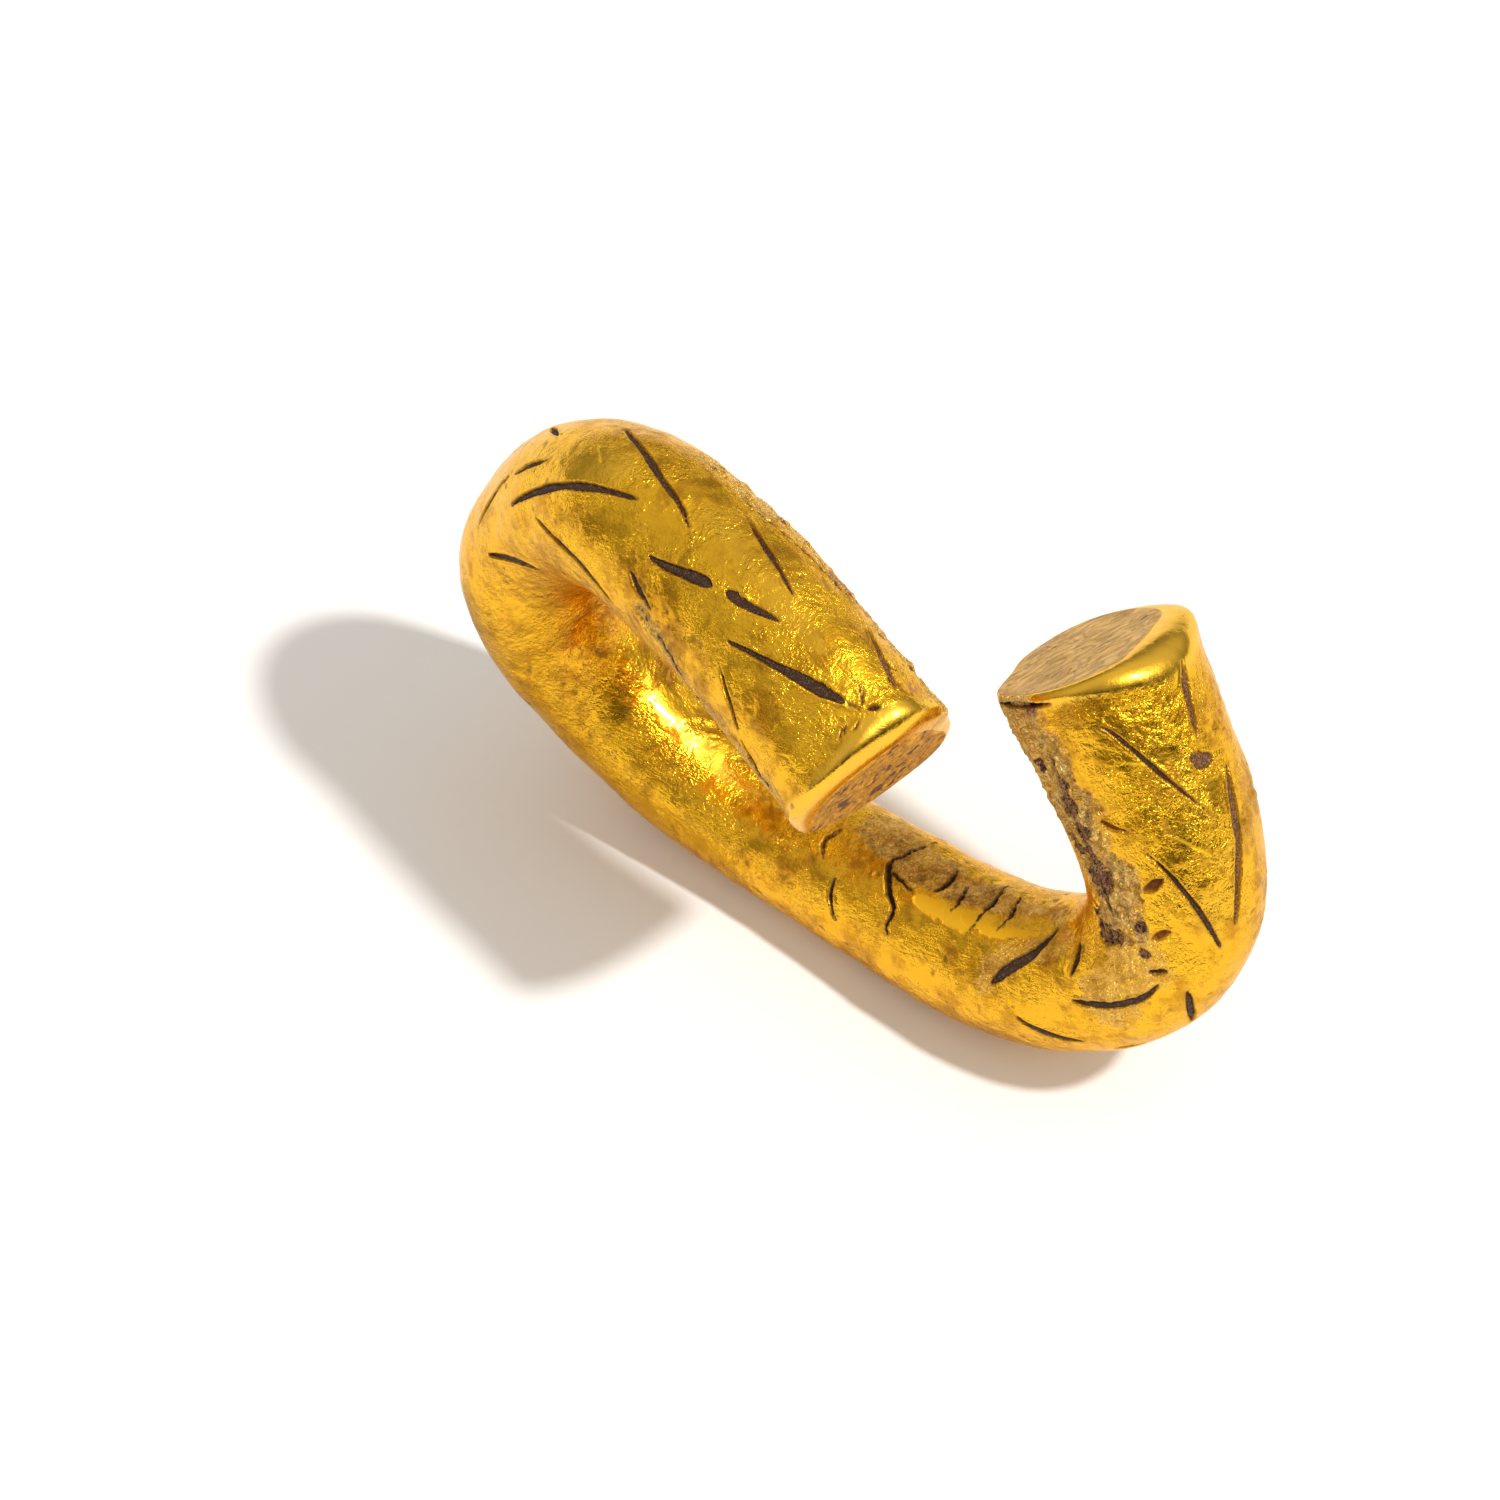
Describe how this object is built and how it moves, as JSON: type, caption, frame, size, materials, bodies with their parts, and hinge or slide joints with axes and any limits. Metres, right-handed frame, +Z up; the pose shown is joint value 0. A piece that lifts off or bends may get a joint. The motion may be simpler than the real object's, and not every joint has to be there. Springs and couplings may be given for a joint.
{
  "type": "hair ring",
  "caption": "Penannular ring: a thick round bar bent into an offset open hoop with flat ends, a gold sleeve over a core and dark oblique inlaid strips",
  "frame": {"origin": "centre of the bounding box in X and Y, at the floor plane the ring stands on", "axes": "Z up with the gap between the ends at the top, X to the right and Y away from the picture's camera"},
  "size_m": [0.0234, 0.0168, 0.0174],
  "materials": {
    "gold_sleeve": "worn burnished gold alloy, scratched and pitted",
    "end_plate": "matt rough gold with brown deposits",
    "core_bar": "dull corroded copper alloy",
    "inlay": "gritty dark corroded metal",
    "seam_strip": "purple-brown corrosion along the seam"
  },
  "bodies": {
    "root": {"core_bar": "core_bar", "end_plate_left": "end_plate", "end_plate_right": "end_plate", "gold_sleeve": "gold_sleeve", "inlay_back_01": "inlay", "inlay_back_02": "inlay", "inlay_back_03": "inlay", "inlay_left_01": "inlay", "inlay_left_02": "inlay", "inlay_left_03": "inlay", "inlay_left_04": "inlay", "inlay_left_05": "inlay", "inlay_left_06": "inlay", "inlay_left_07": "inlay", "inlay_left_08": "inlay", "inlay_left_09": "inlay", "inlay_left_10": "inlay", "inlay_left_11": "inlay", "inlay_left_12": "inlay", "inlay_left_13": "inlay", "inlay_left_14": "inlay", "inlay_left_15": "inlay", "inlay_right_01": "inlay", "inlay_right_02": "inlay", "inlay_right_03": "inlay", "inlay_right_04": "inlay", "inlay_right_05": "inlay", "inlay_right_06": "inlay", "inlay_right_07": "inlay", "seam_strip": "seam_strip"}
  },
  "joints": []
}
